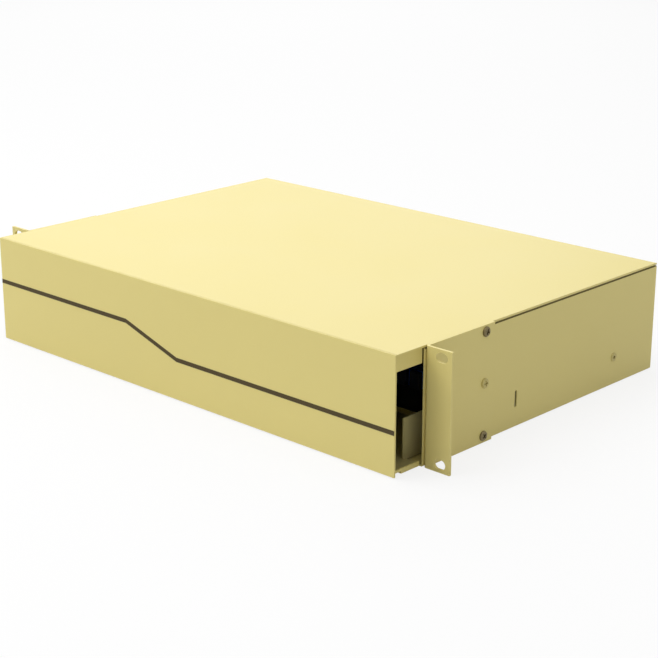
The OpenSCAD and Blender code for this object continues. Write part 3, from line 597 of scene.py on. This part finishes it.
screwSizes = {  # in mm: head diameter, head height, shank diameter and length; then the way the head looks
    "ear_screws": (7.4, 1.6, 3.9, 7, "side"),
    "cover_screws": (5.6, 1.8, 2.9, 8, "rear"),
    "runner_screws": (7, 2, 3.9, 4, "inward"),
    "bracket_screws": (5.6, 1.8, 2.9, 2.4, "up"),
    "plate_screws": (6, 1.8, 2.9, 6, "front"),
    "anchor_screws": (8, 2.4, 3.9, 30, "up"),
}


def islands(node):  # the corners of the box of each separate solid of a node
    work = bmesh.new()
    work.from_mesh(frame["nodes"][node].data)
    bmesh.ops.remove_doubles(work, verts=work.verts, dist=weld)
    boxes, seen = [], set()
    for vertex in work.verts:
        if vertex in seen:
            continue
        stack, found = [vertex], []
        seen.add(vertex)
        while stack:
            here = stack.pop()
            found.append(here.co.copy())
            for edge in here.link_edges:
                other = edge.other_vert(here)
                if other not in seen:
                    seen.add(other)
                    stack.append(other)
        low = Vector([min(point[axis] for point in found) for axis in range(3)])
        high = Vector([max(point[axis] for point in found) for axis in range(3)])
        boxes.append((low, high))
    work.free()
    return sorted(boxes, key=lambda box: tuple(round(value, 5) for value in box[0]))


def aimed(direction):  # turns a piece's own +Z to a direction
    return Vector((0, 0, 1)).rotation_difference(Vector(direction)).to_matrix().to_4x4()


def coatMiddle(screws):  # the middle screw of each ear gets a darker beige coat
    screws.data.materials.append(finishes["darker_coat"])
    low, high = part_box("ear_screws")
    third = (high.z - low.z) / 3
    for polygon in screws.data.polygons:
        if low.z + third < polygon.center.z < high.z - third:
            polygon.material_index = 1


def makeScrews():
    for node, (headDiameter, headHeight, shankDiameter, length, side) in screwSizes.items():
        screw = makeScrew(headDiameter * mm, headHeight * mm, shankDiameter * mm, length * mm)
        copies = []
        for index, (low, high) in enumerate(islands(node)):
            middle = (low + high) / 2
            outward = 1 if middle.x > 0 else -1
            ways = {"side": (outward, 0, 0), "rear": (0, 1, 0), "inward": (-outward, 0, 0),
                    "up": (0, 0, 1), "front": (0, -1, 0)}
            way = Vector(ways[side])
            tip = Vector([high[axis] if way[axis] > 0 else low[axis] if way[axis] < 0 else middle[axis]
                          for axis in range(3)])
            seat = tip - way * headHeight * mm
            spin = Matrix.Rotation(screwLook["turn"] + screwLook["turnStep"] * index, 4, "Z")
            copies.append(ownCopy(screw, Matrix.Translation(seat) @ aimed(way) @ spin))
        bpy.data.objects.remove(screw)
        screws = joined(copies, camel(node))
        fit(screws, node)
        if node == "ear_screws":
            coatMiddle(screws)


studLook = {"tipRadius": 2.5 * mm, "tipLength": 8 * mm, "tipEdge": 0.7 * mm, "pitch": 1 * mm, "sides": 24}


def makeStud():
    low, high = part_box("ground_stud")
    length = high.y - low.y - studLook["tipLength"]
    bar = makeThread((high.x - low.x) / 2, length, studLook["pitch"], studLook["sides"])
    bpy.ops.mesh.primitive_cylinder_add(
        vertices=studLook["sides"], radius=studLook["tipRadius"], depth=studLook["tipLength"],
        location=(0, 0, studLook["tipLength"] / 2))
    tip = place(bpy.context.object)
    chooseFaces(tip, lambda middle, normal: normal.z > 0.9)
    bpy.ops.mesh.bevel(offset=studLook["tipEdge"], offset_type="OFFSET", segments=1, affect="EDGES")
    closeMesh()
    stud = joined([bar, tip], camel("ground_stud"))
    middle = (low + high) / 2
    seat = (middle.x, high.y - studLook["tipLength"], middle.z)
    stud.matrix_world = Matrix.Translation(seat) @ aimed((0, 1, 0))
    smooth(place(stud), 30)
    fit(stud, "ground_stud")


# Adapters: each flange gets its two holes

adapterLook = {"edge": 0.22 * mm, "holeSides": 20, "holeRadius": 1.15 * mm, "holeReach": 9 * mm,
               "drill": 80 * mm}


def makeAdapters():
    for side in ("left", "centre", "right"):
        node = "adapters_" + side
        piece = cadCopy(node)
        holes = []
        for low, high in islands(node):
            middle = (low + high) / 2
            for way in (-1, 1):
                spot = middle + Vector((0, 0, way * adapterLook["holeReach"]))
                bpy.ops.mesh.primitive_cylinder_add(
                    vertices=adapterLook["holeSides"], radius=adapterLook["holeRadius"],
                    depth=adapterLook["drill"], location=spot, rotation=(math.pi / 2, 0, 0))
                holes.append(place(bpy.context.object))
        cut(piece, joined(holes, "drill"))
        softenAll(piece, adapterLook["edge"])
        fit(piece, node)


# Dust caps: a rounded head with a dished face

capShape = {"edge": 0.55 * mm, "rim": 1.7 * mm, "dish": 0.7 * mm}


def makeCaps():
    for node, way in (("front_dust_caps", -1), ("rear_dust_caps", 1)):
        piece = cadCopy(node)
        low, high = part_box(node)
        face = low.y if way < 0 else high.y
        chooseFaces(piece, lambda middle, normal: normal.y * way > 0.9 and abs(middle.y - face) < flush)
        bpy.ops.mesh.inset(thickness=capShape["rim"], use_individual=True)
        bpy.ops.transform.translate(value=(0, -way * capShape["dish"], 0))
        closeMesh()
        softenAll(piece, capShape["edge"], 3)
        fit(piece, node)


# Splice trays: rounded corners and a soft rim

spliceLook = {"corner": 6 * mm, "edge": 0.35 * mm}


def makeSpliceTrays():
    low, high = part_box("splice_cover")
    corners = [(x, y) for x in (low.x, high.x) for y in (low.y, high.y)]
    for node in ("splice_tray_lower", "splice_tray_upper", "splice_cover"):
        piece = cadCopy(node)
        roundEdges(piece, along(2, corners), spliceLook["corner"], 6)
        softenAll(piece, spliceLook["edge"])
        fit(piece, node)


def makeKeptNodes():
    kept = [node for node in frame["nodes"] if node not in fitted]
    for node in kept:
        keepCad(node)
    print("nodes with their own mesh:", kept)


makePan()
makeCover()
makeDoor()
print("body made")
makeSheetPieces()
print("sheet pieces made")
makePlugs()
makeRivets()
makeScrews()
makeStud()
print("screws made")
makeAdapters()
makeCaps()
makeSpliceTrays()
print("inner pieces made")
makeKeptNodes()


# Studio: a pale floor, three soft lamps, a white surround and the camera

studio = {
    "floorSize": 14, "floorDrop": 0.3 * mm, "floorTones": (0.80, 0.82), "floorGrain": 4 * mm,
    "floorRoughness": 0.8, "floorGlow": 0.82, "surround": 0.506, "lampTarget": (0, 0.1, 0.03),
    "cameraPlace": (0.8844, -0.7985, 0.4361), "cameraTurn": (71.993, -0.053, 43.476), "lens": 89.73,
}

lamps = {  # power in watts, size and place in metres
    "keyLamp": (26.7, 1.6, (-0.75, -0.75, 1.75)),
    "topLamp": (6.6, 1.5, (0.25, 0.1, 1.9)),
    "rearLamp": (14, 1.8, (-1.75, 1.75, 1.3)),
}


def makeFloor():
    bpy.ops.mesh.primitive_plane_add(size=studio["floorSize"], location=(0, 0, -studio["floorDrop"]))
    floor = place(bpy.context.object)
    floor.name = "studioFloor"
    sheet = newSheet("paleFloor")
    speckle = sheet.noise(sheet.objectPlace(), studio["floorGrain"])
    low, high = ((tone, tone, tone, 1) for tone in studio["floorTones"])
    matt = sheet.add("ShaderNodeBsdfPrincipled", {}, {"Base Color": sheet.mixColour(speckle, low, high),
                                                      "Roughness": studio["floorRoughness"]})
    glow = sheet.add("ShaderNodeEmission", {}, {"Color": (1, 1, 1, 1), "Strength": 1.0})
    shown = sheet.seenRays() * studio["floorGlow"]
    blend = sheet.add("ShaderNodeMixShader", {}, {0: shown, 1: matt, 2: glow})
    sheet.add("ShaderNodeOutputMaterial", {}, {"Surface": blend})
    floor.data.materials.append(sheet.holder)


def makeSurround():  # the lens, metal and clear plastic see it white, and it lights the object more softly
    world = bpy.data.worlds.new("studioSurround")
    bpy.context.scene.world = world
    sheet = NodeSheet(world)
    strength = sheet.add("ShaderNodeMix", {}, {0: sheet.seenRays(), 2: studio["surround"], 3: 1.0})
    sky = sheet.add("ShaderNodeBackground", {}, {"Color": (1, 1, 1, 1), "Strength": strength})
    sheet.add("ShaderNodeOutputWorld", {}, {"Surface": sky})


def makeLamp(name, power, size, spot):
    bpy.ops.object.light_add(type="AREA", location=spot)
    lamp = bpy.context.object
    lamp.name = name
    lamp.data.energy = power
    lamp.data.size = size
    aim = Vector(studio["lampTarget"]) - Vector(spot)
    lamp.rotation_euler = aim.to_track_quat("-Z", "Y").to_euler()


def makeCamera():
    bpy.ops.object.camera_add(location=studio["cameraPlace"],
                              rotation=[math.radians(angle) for angle in studio["cameraTurn"]])
    camera = bpy.context.object
    camera.name = "photoCamera"
    camera.data.lens = studio["lens"]
    camera.data.sensor_width = 36
    bpy.context.scene.camera = camera


makeFloor()
makeSurround()
for name, (power, size, spot) in lamps.items():
    makeLamp(name, power, size, spot)
makeCamera()
bpy.context.scene.view_settings.view_transform = "Standard"
print("studio made")
